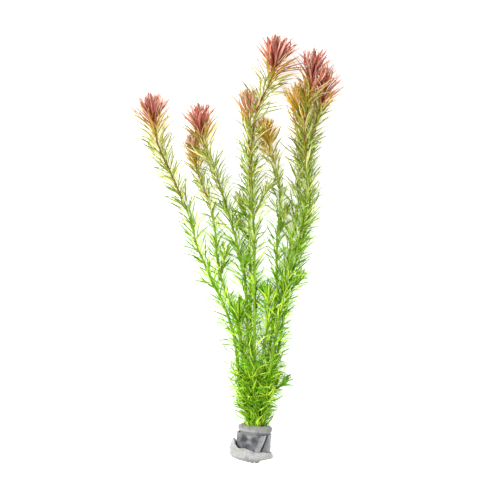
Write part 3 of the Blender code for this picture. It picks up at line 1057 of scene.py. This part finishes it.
# The eleven stems, with the routes of the part's source.
STEMS = [
    Shoot(
        "stem_1", Blush.RED, 60,
        [
            (-6.5, 25, 9), (-9.2, 38, 7.5), (-10.8, 55, 5.5), (-13.5, 68, 4.5), (-18.5, 82, 3.8),
            (-27.6, 101.4, 3.6), (-34.5, 118, 3.6), (-38.6, 134, 3.6), (-44.5, 148, 3.6),
            (-52, 165, 3.8), (-58.2, 179.4, 4.2), (-61.2, 197, 5),
        ],
        (OUTER_SEAT, 180), leaf_length=15.5, tuft_whorls=7, whorl_spacing=3.4, crown_lean=9,
        tuft_lean=43, tuft_blush_ends=17,
    ),
    Shoot(
        "stem_2", Blush.PINK, 45,
        [
            (-3.8, 25, 6.3), (-5.5, 40, 5), (-7, 55, 4), (-11, 74, 3.6), (-16.2, 88, 3.6),
            (-20.5, 100, 3.6), (-22.3, 113, 3.6), (-23.6, 127, 3.6), (-26.5, 142, 3.6),
            (-31.5, 155, 3.6), (-35, 167, 3.8), (-36, 179, 4.2),
        ],
        (OUTER_SEAT, 225), leaf_length=10, tuft_whorls=5,
    ),
    Shoot(
        "stem_3", Blush.RED, 45,
        [
            (-3.2, 25, 12), (-3.5, 40, 11), (-3.6, 55, 9.5), (-4, 72, 8), (-4.8, 90, 6),
            (-7.6, 107, 4.8), (-12, 125, 4.2), (-17.4, 143.4, 4.5), (-23.4, 161.4, 6),
            (-28.6, 173, 7.5), (-31.2, 184, 8.5), (-31.8, 191.5, 9),
        ],
        (OUTER_SEAT, 135), leaf_length=15.5, crown_depth=4, tuft_whorls=10, crown_lean=9,
        tuft_blush_ends=20, whorl_spacing=3.5,
    ),
    Shoot(
        "stem_4", Blush.RED, 80,
        [
            (0.3, 25, 14), (0.3, 40, 14), (0.2, 55, 13), (0.3, 75, 11.5), (0.6, 93, 10),
            (0, 110, 9.2), (-0.2, 127, 8.8), (-1.2, 145, 8.6), (-1.8, 165, 8.6), (-1.2, 180, 8.8),
            (0.8, 194.5, 9), (3.8, 203, 9.2), (8.5, 213, 9), (11.6, 221, 8.5), (13.2, 231, 8),
        ],
        (OUTER_SEAT, 90), leaf_length=17, crown_depth=4, tuft_whorls=12, crown_lean=9,
        tuft_lean=50, tuft_blush_ends=22,
    ),
    Shoot(
        "stem_5", Blush.PINK, 45,
        [
            (-0.5, 25, 5), (-1, 40, 4), (-1.5, 58, 3.6), (-2.2, 78, 3.6), (-2, 97, 3.6),
            (-2.8, 114, 3.6), (-2.9, 130, 3.6), (-2.4, 148, 3.6), (-2.8, 167, 3.6),
            (-3, 184, 3.8), (-3, 202, 4.4),
        ],
        (OUTER_SEAT, 270), leaf_length=13, leaf_width=1.0, whorl_spacing=5.4,
    ),
    Shoot(
        "stem_6", Blush.OLIVE, 36,
        [
            (4.5, 22, 8.8), (6.2, 35, 8), (8.3, 48, 6.8), (10, 60, 5.8), (12.3, 76, 4.6),
            (13.6, 90, 3.8), (13.6, 108, 3.6), (14, 122, 3.6), (15.4, 136, 3.6), (15.5, 150, 3.6),
            (13.3, 163, 3.6), (9.8, 174.5, 3.8), (7.2, 185.5, 4.2),
        ],
        (INNER_SEAT, -30), leaf_length=11.5, tuft_blush_ends=34,
    ),
    Shoot(
        "stem_7", Blush.ORANGE, 44,
        [
            (6, 22, 5.8), (8.8, 35, 4.6), (11.3, 48, 3.8), (13.2, 60, 3.6), (14.9, 76, 3.6),
            (16.8, 90, 3.6), (19.5, 104, 3.6), (22.8, 121, 3.6), (25.6, 135, 3.6), (27, 150, 3.6),
            (27.6, 166, 3.6), (28.4, 180, 3.8), (28.8, 192, 4.2), (28.2, 203.5, 5),
        ],
        (OUTER_SEAT, 315), leaf_length=14.5, tuft_whorls=7, tuft_blush_ends=62,
        whorl_spacing=3.2,
    ),
    Shoot(
        "stem_8", Blush.RED, 60,
        [
            (5.5, 22, 12.2), (8, 35, 12), (10.3, 48, 11.3), (12.5, 60, 10.5), (15.2, 76, 9.4),
            (18.2, 90, 8.6), (22, 106, 8.2), (26.5, 121, 8), (30.2, 133, 8), (31.8, 147, 8.2),
            (31.5, 162, 8.4), (30.4, 180, 8.8), (31, 195, 9), (33.5, 209, 8.8), (36, 223, 8.2),
        ],
        (OUTER_SEAT, 45), leaf_length=15.5, leaf_width=0.98, tuft_whorls=5, tuft_lean=42,
        whorl_spacing=3.2,
    ),
    Shoot(
        "stem_9", Blush.RED, 50,
        [
            (7.4, 22, 9.2), (10.5, 35, 8.2), (13.4, 48, 7), (15.6, 60, 6), (18.2, 76, 4.8),
            (20.8, 90, 4), (24.6, 106, 3.6), (29, 120, 3.6), (32.5, 132, 3.6), (33.8, 146, 3.6),
            (33.2, 162, 3.6), (34, 180, 3.8), (38, 194.5, 4.4), (41.4, 206, 5),
            (42.6, 213.5, 5.2),
        ],
        (OUTER_SEAT, 0), leaf_length=14.5, leaf_width=0.98, tuft_whorls=5, tuft_lean=34,
        whorl_spacing=3.2,
    ),
    Shoot(
        "stem_10", Blush.GREEN, 20,
        [
            (1.9, 22, 11.2), (3.3, 35, 11), (4.8, 48, 10.5), (6, 58, 10), (8, 68, 9.5),
            (9.2, 77, 9.3), (8, 84, 9.5), (7.2, 88, 10),
        ],
        (INNER_SEAT, 90), leaf_length=12, crown_depth=2, tuft_length=5, tuft_whorls=5,
        whorl_spacing=3.4, foot_length=30,
    ),
    Shoot(
        "stem_11", Blush.GREEN, 20,
        [
            (-2.2, 22, 9), (-4, 35, 8.6), (-6.5, 48, 8.4), (-8.2, 60, 8), (-8.8, 70, 7.6),
            (-8.6, 79, 7.5),
        ],
        (INNER_SEAT, 210), leaf_length=12, crown_depth=2, tuft_length=5, tuft_whorls=5,
        whorl_spacing=3.4, foot_length=30,
    ),
]

# The eight side shoots, which are alike but for their routes.
SIDE_SHOOTS = [
    Shoot(
        f"side_shoot_{number}", Blush.GREEN, 12, knots, leaf_length=8.5, leaf_width=1.0,
        stalk_radius=0.6, crown_depth=1.2, tuft_length=3.5, tuft_whorls=3, whorl_spacing=3.2,
        foot_length=1, foot_spacing=1, leaves_in_whorl=5,
    )
    for number, knots in (
        (1, [(-19.2, 100.8, 4.2), (-18.5, 105, 5), (-17.5, 110, 6), (-17, 113.5, 6.5)]),
        (2, [(-3.8, 134.2, 4.2), (-5.5, 136.5, 5), (-7.4, 140, 5.5), (-8.4, 144, 6)]),
        (3, [(-4.1, 123, 4.4), (-6.2, 126.5, 5.4), (-8.4, 131.5, 6.5)]),
        (4, [(15.8, 126, 4.4), (17.5, 131, 5.2), (19.5, 137, 6)]),
        (5, [
            (0.9, 137, 9.4), (3, 141, 9.8), (5.5, 146.5, 10), (8.2, 150.2, 9.6), (10.3, 151.4, 9),
        ]),
        (6, [(-5.9, 99, 7), (-6, 103, 8.3), (-6.2, 107.5, 9.5)]),
        (7, [(22.3, 90.8, 4.8), (25, 94, 5.5), (28, 97.5, 6)]),
        (8, [(10.8, 29.5, 9.2), (14, 32.5, 9.5), (17.4, 34.4, 9.2)]),
    )
]


# The foot


@dataclass
class FoamWrap:
    """The foam round the stems: a lumpy ring, cinched under the strip and pressed flat below.

    Its lower part bulges out past the strip, and at the left and a little in front it folds up
    over the strip's lower edge.
    """

    finish: DampFoam
    hole: float = 4.5 * MM
    waist: float = 8.75 * MM
    collar: float = 10.2 * MM
    skirt: float = 11.6 * MM
    strip_outside: float = 10.4 * MM
    strip_half: float = STRIP_WIDTH / 2 + 0.35 * MM
    around: int = 180
    per_knot: int = 4
    lump: float = 0.5 * MM
    pit: float = 0.25 * MM

    def fold(self, turn: float) -> tuple[float, float]:
        """Gives how far the foam folds up over the strip, and bulges out beside it.

        Args:
            turn: the angle from the top, towards +X.

        Returns:
            The fold's height, and the extra radius.
        """
        left = math.exp(-(((turn - math.radians(272)) / math.radians(30)) ** 2))
        front = math.exp(-(((turn - math.radians(334)) / math.radians(17)) ** 2))
        near = math.exp(-((((turn + math.pi) % (2 * math.pi) - math.pi) / math.radians(70)) ** 2))
        rise = 7.0 * MM * left + 1.6 * MM * front + 1.2 * MM * near
        return rise, 2.2 * MM * left + 0.6 * MM * front

    def section(self, turn: float) -> list[tuple[float, float]]:
        """Gives the ring's section that far round, closed on itself.

        Args:
            turn: the angle from the top, towards +X.

        Returns:
            Radius and distance along the axis of each point.
        """
        half, hole, waist, collar = self.strip_half, self.hole, self.waist, self.collar
        top, bottom = FOAM_UPPER_END, FOAM_LOWER_END
        up, out = self.fold(turn)
        skirt = self.skirt + out
        bottom += 1.4 * MM * math.exp(-(((turn - math.radians(70)) / math.radians(50)) ** 2))
        over = self.strip_outside + 1.25 * MM * eased(turn, math.radians(240), math.radians(318))
        corners = [
            (hole, 0.0), (hole, half), (hole + 0.3 * MM, top - 1.2 * MM),
            (hole + 1.8 * MM, top - 0.2 * MM), (collar - 1.6 * MM, top - 0.1 * MM),
            (collar - 0.1 * MM, top - 1.3 * MM), (collar - 0.1 * MM, half + 1.2 * MM),
            (waist + 0.3 * MM, half), (waist, half - 1.5 * MM), (waist, 0.0),
            (waist, 1.5 * MM - half), (waist + 0.3 * MM, -half),
            (collar - 0.2 * MM, -half - 0.4 * MM), (over, -half - 0.2 * MM),
            (over + 0.1 * MM, -half + 0.8 * up), (over + 0.5 * MM + 0.5 * out, -half + up),
            (skirt, -half - 1.2 * MM + 0.8 * up), (skirt, -half - 3.0 * MM + 0.2 * up),
            (self.skirt - 0.9 * MM + 0.8 * out, bottom + 1.4 * MM),
            (self.skirt - 3.4 * MM, bottom + 0.2 * MM),
            (hole + 1.2 * MM, bottom + 0.3 * MM), (hole, bottom + 1.6 * MM), (hole, -half),
        ]
        looped = [Vector((*corner, 0.0)) for corner in (*corners, corners[0])]
        points = smooth_route(looped, 0.0, self.per_knot)
        return [(point.x, point.y) for point in points[:-1]]

    def build(self) -> Object:
        """Builds the wrap as a closed mesh with lumps and pores in its surface.

        Returns:
            The finished piece.
        """
        shape = bmesh.new()
        soil = shape.verts.layers.float.new("soil")
        specked = shape.verts.layers.float.new("specked")
        edge = STRIP_WIDTH / 2
        rings = []
        for turn in (2 * math.pi * number / self.around for number in range(self.around)):
            ring = []
            for radius, along in self.section(turn):
                outer = eased(radius, self.hole + 0.5 * MM, self.waist)
                beside = eased(abs(along), edge, edge + 1.6 * MM)
                free = max(beside, eased(radius, self.skirt - 0.6 * MM, self.skirt + 0.6 * MM))
                spot = Vector((math.sin(turn), math.cos(turn), along / self.skirt)) * 2.6
                swell = noise.noise(spot) + 0.6 * noise.noise(spot * 2.7)
                wide = radius + self.lump * outer * free * swell
                floor = 1.05 * MM if abs(along) < edge + 0.3 * MM else 0.0
                height = max(floor, FOOT_HEIGHT + wide * math.cos(turn))
                vert = shape.verts.new(foot_point(wide * math.sin(turn), along, height))
                # Stored below: greyer in the surface's low places and towards the lower end, and
                # darker on the upper collar, partly greyer foam and partly painted shade under the
                # leaves.
                low_end = eased(-along, 7.5 * MM, 10.5 * MM)
                collar = eased(along, 6.0 * MM, 9.0 * MM)
                vert[soil] = 0.25 * eased(-swell, 0.0, 0.6) + 0.24 * low_end + 0.6 * collar
                vert[specked] = 0.2 + 0.5 * low_end
                ring.append(vert)
            rings.append(ring)
        count = len(rings[0])
        for first, second in zip(rings, rings[1:] + rings[:1]):
            for here in range(count):
                ahead = (here + 1) % count
                shape.faces.new((first[here], first[ahead], second[ahead], second[here]))
        bmesh.ops.recalc_face_normals(shape, faces=shape.faces)
        self.open_pores(shape)
        mesh = finished_mesh(shape, "foam_wrap", self.finish.make())
        piece = add_piece("foam_wrap_soft", mesh, "foam_wrap")
        return piece

    def open_pores(self, shape: bmesh.types.BMesh) -> None:
        """Sinks small pits into the foam's open surface.

        Args:
            shape: the wrap, with its normals outwards.
        """
        shape.normal_update()
        for vert in shape.verts:
            pit = noise.noise(vert.co / (0.9 * MM)) + 0.5 * noise.noise(vert.co / (0.45 * MM))
            if vert.co.z >= 1.2 * MM:
                vert.co -= vert.normal * max(0.0, pit) * self.pit


@dataclass
class LeadStrip:
    """The lead strip, wound once round the foam, with its slanted end lapped over its start."""

    finish: RolledLead
    thickness: float = 1.0 * MM
    radius: float = 9.5 * MM
    lap_gap: float = 0.25 * MM
    inner_end: float = math.radians(-32.0)
    outer_end: float = math.radians(388.0)
    end_slant: float = math.radians(9.5)
    lap_starts: float = math.radians(240.0)
    lap_risen: float = math.radians(318.0)
    curl: float = 0.3 * MM
    around: int = 240
    across: int = 24
    dent: float = 0.28 * MM
    edge_wave: float = 0.25 * MM
    grime_and_shadow_reach: float = 2.0 * MM
    highlight_reach: float = 3.6 * MM
    rounding: float = 0.18 * MM

    def middle(self, turn: float) -> tuple[float, float]:
        """Gives the middle of the strip's thickness, that far round from the top.

        Args:
            turn: the angle from the top, towards +X.

        Returns:
            The distance sideways of the foot's axis, and the height above the floor.
        """
        lift = (self.thickness + self.lap_gap) * eased(turn, self.lap_starts, self.lap_risen)
        lift += self.curl * eased(turn, self.outer_end - 0.35, self.outer_end)
        wide = self.radius + lift
        height = FOOT_HEIGHT + wide * math.cos(turn)
        return wide * math.sin(turn), max(self.thickness / 2, height)

    def build(self) -> Object:
        """Builds the strip as a dented sheet with thickness and softened edges.

        Returns:
            The finished piece.
        """
        shape = bmesh.new()
        grime = shape.verts.layers.float.new("grime")
        wear = shape.verts.layers.float.new("wear")
        bmesh.ops.create_grid(shape, x_segments=self.around, y_segments=self.across, size=0.5)
        for vert in shape.verts:
            share, across = vert.co.x + 0.5, 2 * vert.co.y
            outer_end = self.outer_end + self.end_slant * across
            turn = self.inner_end + (outer_end - self.inner_end) * share
            sideways, height = self.middle(turn)
            seed = Vector((turn * 1.9, across * 1.1, 0.3))
            dent = self.dent * (noise.noise(seed) + 0.4 * noise.noise(seed * 2.6))
            free = eased(turn, 0.2, 0.6) * (1.0 - eased(turn, 2.2, 2.6)) + eased(turn, 4.0, 4.4)
            out = Vector((math.sin(turn), 0, math.cos(turn))) * dent * min(1.0, free)
            edge = self.edge_wave * noise.noise(Vector((turn * 2.3, 7.0, 0.0))) * across
            vert.co = foot_point(sideways + out.x, across * STRIP_WIDTH / 2 + edge, height + out.z)
            to_end = (outer_end - turn) * self.radius
            past_end = (turn + 2 * math.pi - outer_end) * self.radius
            # Past the lapped end, the lower layer is painted near black for about 2 mm, and so is
            # the end's cut face: partly dirt in the lap and partly painted shadow of the step.
            reach = self.grime_and_shadow_reach * (1.0 + 0.3 * across)
            under = 1.0 - eased(past_end, reach, reach + 0.4 * MM)
            cut = 1.0 - eased(to_end, 0.1 * MM, 0.3 * MM)
            vert[grime] = max(under if turn < 2.0 else 0.0, cut)
            # A broad band and a narrow line beside the lapped end are painted bright, partly worn
            # metal and partly painted highlight. The strip's first part, on the right, is painted a
            # little lighter outside the lap.
            broad = 1.0 - eased(to_end, 0.6 * self.highlight_reach, self.highlight_reach)
            narrow = 1.0 - eased(to_end, 0.6 * MM, 1.2 * MM)
            lighter_right_part = 0.2 * (1.0 - under) if turn < 2.0 else 0.0
            vert[wear] = lighter_right_part + 0.45 * broad + 0.55 * narrow * eased(across, -0.6, 0.9)
        mesh = finished_mesh(shape, "lead_strip", self.finish.make())
        piece = add_piece("lead_strip_wound", mesh, "lead_strip")
        walls = piece.modifiers.new("Thickness", "SOLIDIFY")
        walls.thickness = self.thickness
        walls.offset = 0.0
        walls.use_even_offset = True
        walls.use_quality_normals = True
        rounding = piece.modifiers.new("Edge", "BEVEL")
        rounding.width = self.rounding
        rounding.segments = 3
        rounding.limit_method = "ANGLE"
        rounding.angle_limit = math.radians(50)
        return piece


# The studio


@dataclass
class Studio:
    """A plain white board, soft even light, and a camera that looks straight down on the bunch."""

    board: OpalBoard
    board_side: float = 4.0
    board_drop: float = 0.05 * MM
    lens: float = 100.0
    sensor: float = 36.0
    focus_height: float = 7 * MM
    sky: float = 0.6
    lamps_aim: tuple[float, float, float] = (0.0, 0.1, 0.0)

    def build(self) -> None:
        """Builds the board, the lights and the camera."""
        shape = bmesh.new()
        bmesh.ops.create_grid(shape, x_segments=1, y_segments=1, size=self.board_side / 2)
        floor = bpy.data.objects.new("floor", finished_mesh(shape, "floor", self.board.make()))
        floor.location.z = -self.board_drop
        bpy.context.scene.collection.objects.link(floor)
        self.add_lights()
        self.add_camera()

    def add_lights(self) -> None:
        """Adds a bright even sky and two large soft lamps."""
        world = bpy.data.worlds.new("studio")
        world.use_nodes = True
        light = {"Color": (1.0, 1.0, 1.0, 1.0), "Strength": self.sky}
        connect(world.node_tree.nodes["Background"], light)
        bpy.context.scene.world = world
        for name, place, side, power in (
            ("key", Vector((-0.45, 0.45, 0.85)), 0.4, 10.5),
            ("fill", Vector((0.7, -0.1, 0.9)), 1.0, 3.2),
        ):
            lamp = bpy.data.lights.new(name, "AREA")
            lamp.size = side
            lamp.energy = power
            holder = bpy.data.objects.new(name, lamp)
            holder.location = place
            aim = Vector(self.lamps_aim) - place
            holder.rotation_euler = aim.to_track_quat("-Z", "Y").to_euler()
            bpy.context.scene.collection.objects.link(holder)

    def add_camera(self) -> None:
        """Adds the camera over the middle of the photograph's frame, looking straight down."""
        data = bpy.data.cameras.new("camera")
        data.lens = self.lens
        data.sensor_width = self.sensor
        camera = bpy.data.objects.new("camera", data)
        middle = PHOTO_SIZE / 2
        camera.location = (
            (middle - FOOT_PIXEL[0]) * PIXEL,
            (FOOT_PIXEL[1] - middle) * PIXEL,
            self.focus_height + PHOTO_SIZE * PIXEL * self.lens / self.sensor,
        )
        bpy.context.scene.collection.objects.link(camera)
        bpy.context.scene.camera = camera
        bpy.context.scene.view_settings.view_transform = "Standard"


def main() -> None:
    """Builds every piece in order, and reports each."""
    logging.basicConfig(level=logging.INFO, format="%(name)s: %(message)s")
    Studio(OpalBoard()).build()
    patterns = NeedlePatterns().build()
    tree = WhorlTree(patterns, LeafTissue().make(), StalkTissue().make()).build(STEMS[0].sizes(0))
    pieces = [shoot.build(tree, number) for number, shoot in enumerate(STEMS + SIDE_SHOOTS)]
    pieces.append(FoamWrap(DampFoam()).build())
    pieces.append(LeadStrip(RolledLead()).build())
    for piece in pieces:
        LOG.info("%s: %d faces", piece.name, len(piece.data.polygons))
    for pattern in list(patterns.objects):
        bpy.data.objects.remove(pattern, do_unlink=True)
    bpy.data.collections.remove(patterns)
    bpy.data.node_groups.remove(tree)


if __name__ == "__main__":
    main()
